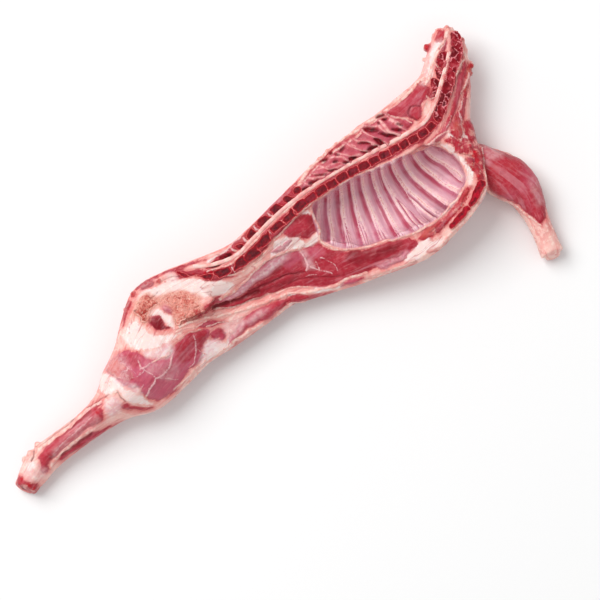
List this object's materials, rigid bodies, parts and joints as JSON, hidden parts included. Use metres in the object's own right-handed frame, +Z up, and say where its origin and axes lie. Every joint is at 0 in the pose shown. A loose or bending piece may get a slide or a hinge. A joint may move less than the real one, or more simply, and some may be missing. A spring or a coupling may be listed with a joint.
{
  "type": "raw half lamb carcass",
  "caption": "Raw side of lamb, sawn lengthwise through the backbone and laid on its outer side, with leg, loin, open rib cage, shoulder, foreleg and neck.",
  "frame": {"origin": "under the middle of the overall box, on the surface that the carcass lies on", "axes": "+X from the hind leg to the neck, +Y towards the back, +Z up, out of the sawn side"},
  "size_m": [1.09, 0.4758, 0.105],
  "materials": {
    "meat": "moist red meat with pale fat and thin glossy membranes",
    "bone": "sawn bone, dark red marrow with a pale rim",
    "cord": "soft, pale pink, moist"
  },
  "bodies": {
    "root": {"aitch_bone": "bone", "breastbone_1": "bone", "breastbone_2": "bone", "breastbone_3": "bone", "breastbone_4": "bone", "foreshank_bone": "bone", "hock_bone": "bone", "meat": "meat", "sacrum": "bone", "spinal_cord": "cord", "tail_bone": "bone", "vertebra_C02": "bone", "vertebra_C03": "bone", "vertebra_C04": "bone", "vertebra_C05": "bone", "vertebra_C06": "bone", "vertebra_C07": "bone", "vertebra_L01": "bone", "vertebra_L02": "bone", "vertebra_L03": "bone", "vertebra_L04": "bone", "vertebra_L05": "bone", "vertebra_L06": "bone", "vertebra_L07": "bone", "vertebra_T01": "bone", "vertebra_T02": "bone", "vertebra_T03": "bone", "vertebra_T04": "bone", "vertebra_T05": "bone", "vertebra_T06": "bone", "vertebra_T07": "bone", "vertebra_T08": "bone", "vertebra_T09": "bone", "vertebra_T10": "bone", "vertebra_T11": "bone", "vertebra_T12": "bone", "vertebra_T13": "bone"}
  },
  "joints": []
}
